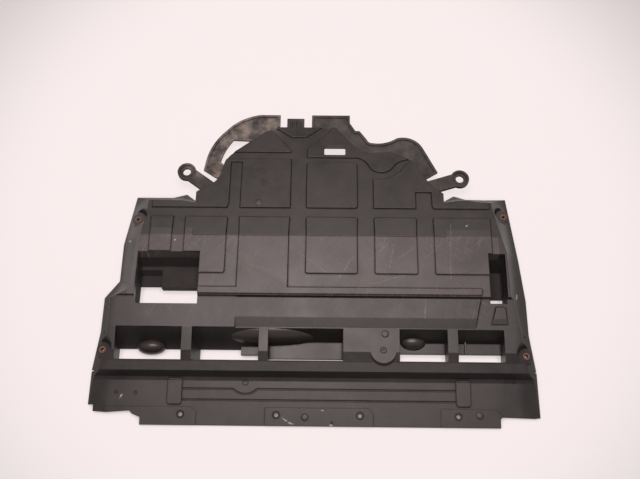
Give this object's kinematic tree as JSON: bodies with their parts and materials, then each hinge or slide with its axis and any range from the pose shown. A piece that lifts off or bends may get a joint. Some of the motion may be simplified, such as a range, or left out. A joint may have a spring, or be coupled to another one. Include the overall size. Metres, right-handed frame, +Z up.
{
  "type": "engine guard",
  "caption": "Moulded engine undertray with raised fields, a row of vents behind the front lip, two side pockets, rear sealing lips, ringed arms and pressed-in metal inserts.",
  "frame": {"origin": "middle of the footprint, on the ground, with the road side up", "axes": "+X across the car to the picture's right, +Y to the car's rear, +Z up, away from the engine"},
  "size_m": [1, 0.768, 0.075],
  "materials": {
    "moulded_plastic": "satin black injection moulding, scratched and dusty",
    "rusted_steel": "rusted"
  },
  "bodies": {
    "root": {"guard_shell": "moulded_plastic", "insert_rear_left": "rusted_steel", "insert_rear_right": "rusted_steel", "insert_front_left": "rusted_steel", "insert_front_right": "rusted_steel"}
  },
  "joints": []
}
